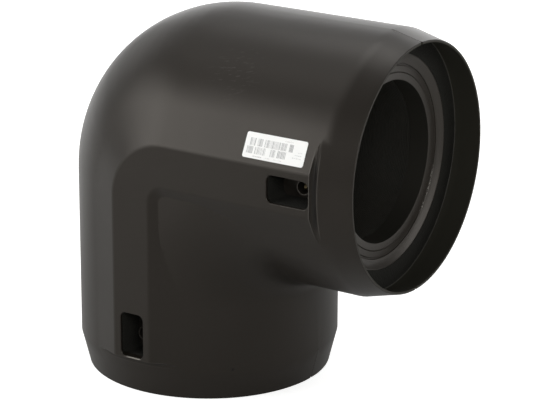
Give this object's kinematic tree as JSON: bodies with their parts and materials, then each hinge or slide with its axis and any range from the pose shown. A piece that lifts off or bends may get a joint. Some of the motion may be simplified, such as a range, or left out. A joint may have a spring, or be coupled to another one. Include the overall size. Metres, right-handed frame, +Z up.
{
  "type": "insulated pipe elbow",
  "caption": "Ninety-degree pipe elbow with welded sockets inside foam and a black two-shell jacket with tapered mouths and contact windows.",
  "frame": {"origin": "centre of the lower mouth, on the plane of the rim that the elbow stands on", "axes": "+Z up the lower leg's axis, +X along the upper leg towards its mouth, -Y the side with the windows"},
  "size_m": [0.3198, 0.2289, 0.3198],
  "materials": {
    "jacket": "satin black polyethylene with light scuffs",
    "foam": "matt dark foam",
    "fitting": "satin black polyethylene",
    "coil": "resistance wire in a black sheath",
    "pin": "dull",
    "label": "white printed film"
  },
  "bodies": {
    "root": {"jacket_front_half": "jacket", "jacket_rear_half": "jacket", "insulation_foam": "foam", "socket_elbow": "fitting", "upper_heating_coil": "coil", "lower_heating_coil": "coil", "coil_link_wire": "coil", "upper_contact_pin": "pin", "lower_contact_pin": "pin", "product_label": "label"}
  },
  "joints": []
}
